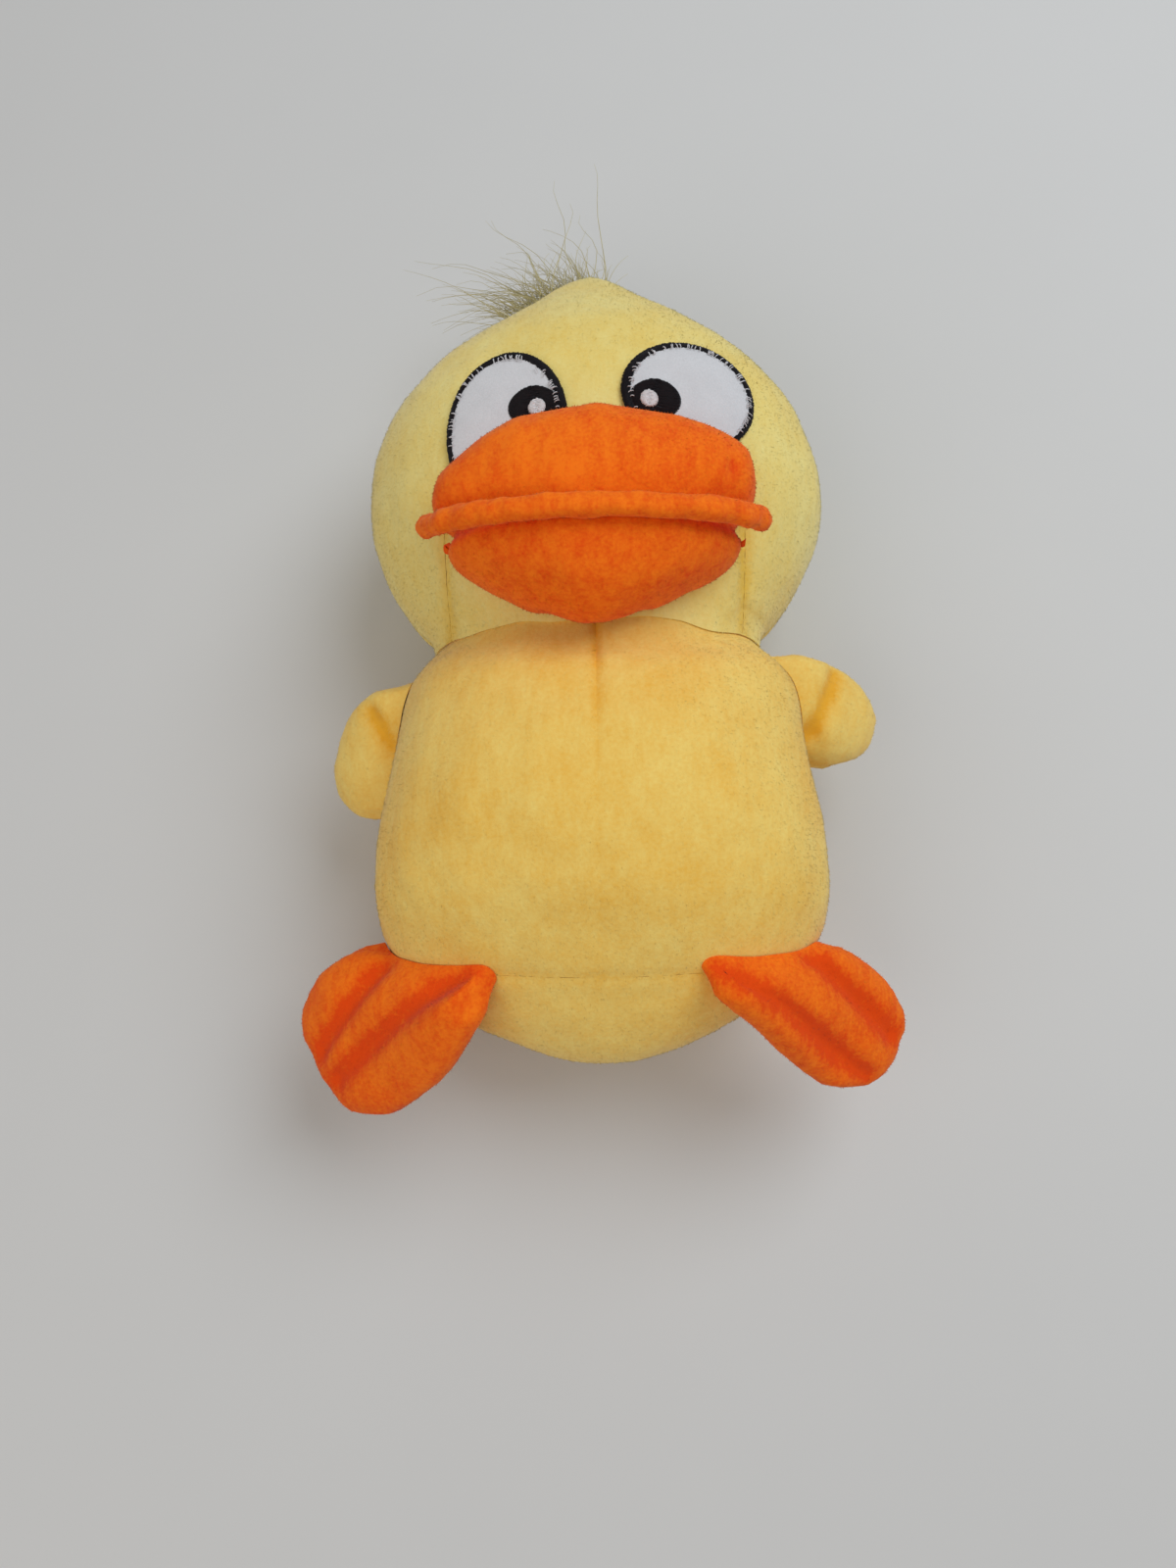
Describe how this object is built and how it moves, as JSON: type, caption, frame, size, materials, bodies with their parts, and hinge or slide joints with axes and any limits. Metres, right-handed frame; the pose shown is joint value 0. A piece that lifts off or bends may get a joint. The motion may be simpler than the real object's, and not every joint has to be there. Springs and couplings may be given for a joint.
{
  "type": "plush duck",
  "caption": "Soft stuffed toy duck lying on its back, with a big round head, wide padded beak, embroidered eyes, small wings and splayed three-toed feet.",
  "frame": {"origin": "middle of the flattened patch of the back that the toy lies on", "axes": "+Y from the feet to the top of the head, +Z out of the belly, straight up as the toy lies, +X to the duck's own left"},
  "size_m": [0.1582, 0.2848, 0.1105],
  "materials": {
    "yellow_plush": "short pile, matt",
    "orange_plush": "short pile, matt",
    "white_felt": "satin stitch, matt",
    "black_embroidery": "satin stitch, slight sheen",
    "polyester_fibre": "loose fibre",
    "long_hair": "long soft hair, slight sheen"
  },
  "bodies": {
    "torso": {"belly_panel_left": "yellow_plush", "belly_panel_right": "yellow_plush", "back_panel": "yellow_plush", "base_panel": "yellow_plush", "torso_filling": "polyester_fibre"},
    "neck": {"neck_filling": "polyester_fibre"},
    "head": {"face_panel": "yellow_plush", "chin_panel": "yellow_plush", "head_back_panel_left": "yellow_plush", "head_back_panel_right": "yellow_plush", "head_filling": "polyester_fibre", "hair_tuft": "long_hair", "beak_upper_cover": "orange_plush", "beak_lower_cover": "orange_plush", "beak_lip": "orange_plush", "beak_filling": "polyester_fibre", "left_eye_white": "white_felt", "left_eye_rim": "black_embroidery", "left_eye_pupil": "black_embroidery", "left_eye_glint": "white_felt", "right_eye_white": "white_felt", "right_eye_rim": "black_embroidery", "right_eye_pupil": "black_embroidery", "right_eye_glint": "white_felt"},
    "left_wing": {"left_wing_front": "yellow_plush", "left_wing_back": "yellow_plush", "left_wing_filling": "polyester_fibre"},
    "right_wing": {"right_wing_front": "yellow_plush", "right_wing_back": "yellow_plush", "right_wing_filling": "polyester_fibre"},
    "left_foot": {"left_foot_top": "orange_plush", "left_foot_sole": "orange_plush", "left_foot_filling": "polyester_fibre"},
    "right_foot": {"right_foot_top": "orange_plush", "right_foot_sole": "orange_plush", "right_foot_filling": "polyester_fibre"}
  },
  "joints": [
    {"name": "head_turn", "type": "hinge", "parent": "torso", "child": "neck", "pos_m": [0, 0.036, 0.042], "axis": [0, 0.9588, 0.284], "range_deg": [-10, 10], "stiffness_Nm_per_rad": 1.5},
    {"name": "head_nod", "type": "hinge", "parent": "neck", "child": "head", "pos_m": [0, 0.036, 0.042], "axis": [1, 0, 0], "range_deg": [-8, 6], "stiffness_Nm_per_rad": 1.5},
    {"name": "left_wing_flap", "type": "hinge", "parent": "torso", "child": "left_wing", "pos_m": [0.05184, 0.02394, 0.0538], "axis": [0.2644, -0.9609, 0.0827], "range_deg": [-10, 50], "stiffness_Nm_per_rad": 0.05},
    {"name": "right_wing_flap", "type": "hinge", "parent": "torso", "child": "right_wing", "pos_m": [-0.05184, 0.02394, 0.0538], "axis": [0.2644, 0.9609, -0.0827], "range_deg": [-10, 50], "stiffness_Nm_per_rad": 0.05},
    {"name": "left_foot_flex", "type": "hinge", "parent": "torso", "child": "left_foot", "pos_m": [0.0463, -0.04428, 0.06288], "axis": [-0.8255, -0.2142, 0.5222], "range_deg": [-15, 15], "stiffness_Nm_per_rad": 0.1},
    {"name": "right_foot_flex", "type": "hinge", "parent": "torso", "child": "right_foot", "pos_m": [-0.0463, -0.04428, 0.06288], "axis": [-0.8255, 0.2142, -0.5222], "range_deg": [-15, 15], "stiffness_Nm_per_rad": 0.1}
  ]
}
